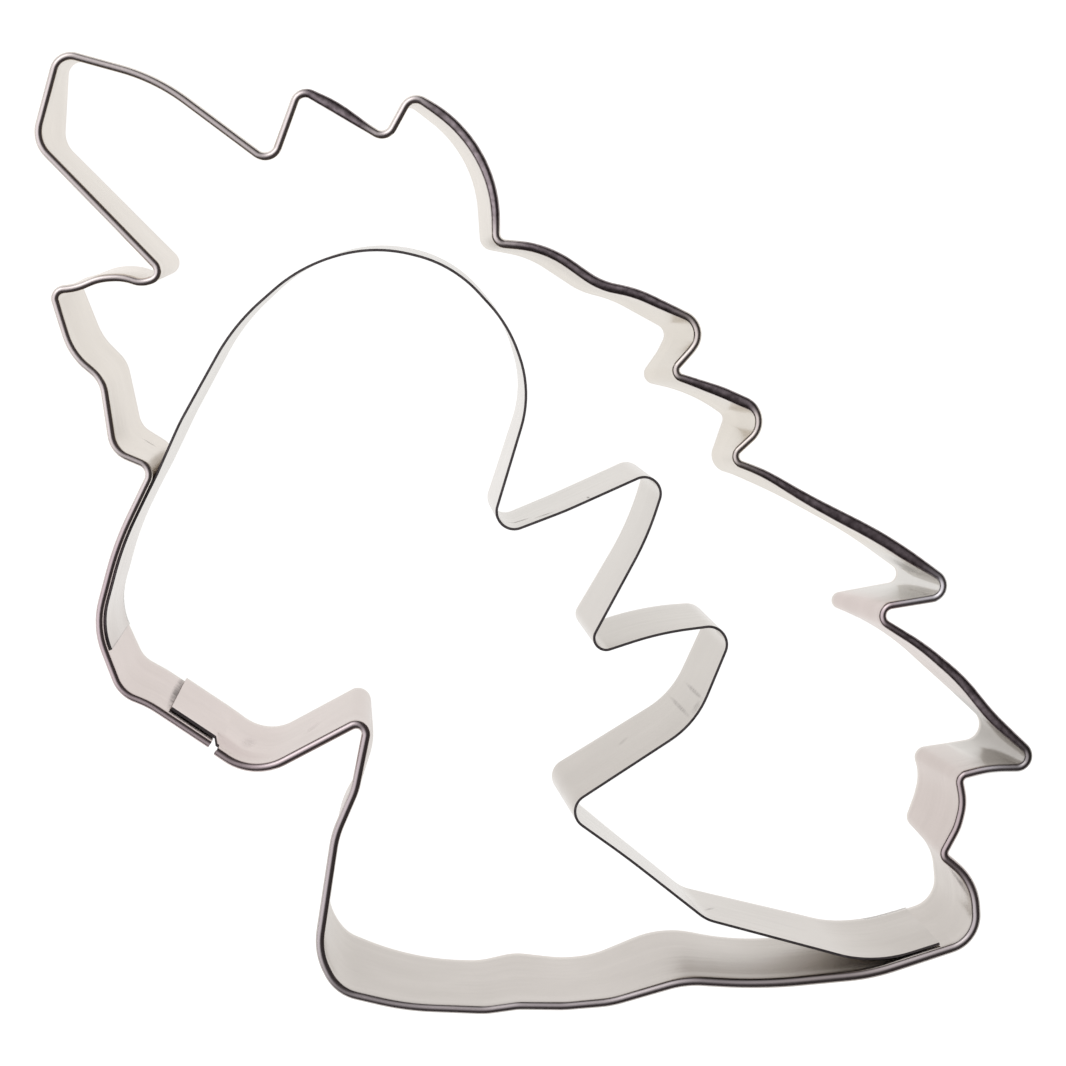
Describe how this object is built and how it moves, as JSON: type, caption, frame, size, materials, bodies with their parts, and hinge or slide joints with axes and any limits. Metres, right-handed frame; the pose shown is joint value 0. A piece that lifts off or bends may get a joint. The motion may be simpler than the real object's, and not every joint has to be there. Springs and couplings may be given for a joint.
{
  "type": "cookie cutter",
  "caption": "Sheet-steel cookie cutter in the outline of a horned horse head, with a rolled rim and an inner strip that cuts the mane line",
  "frame": {"origin": "middle of the outline's bounding box, on the plane of the cutting edge", "axes": "+Z from the cutting edge up to the rolled rim; +X towards the mane; +Y towards the ears"},
  "size_m": [0.0954, 0.0928, 0.022],
  "materials": {
    "rolled_sheet": "cold-rolled, satin",
    "strip_sheet": "cold-rolled, satin",
    "weld": "as welded"
  },
  "bodies": {
    "root": {"outer_band": "rolled_sheet", "inner_band": "strip_sheet", "seam_weld_upper": "weld", "left_weld_upper": "weld", "right_weld_upper": "weld", "seam_weld_lower": "weld", "left_weld_lower": "weld", "right_weld_lower": "weld"}
  },
  "joints": []
}
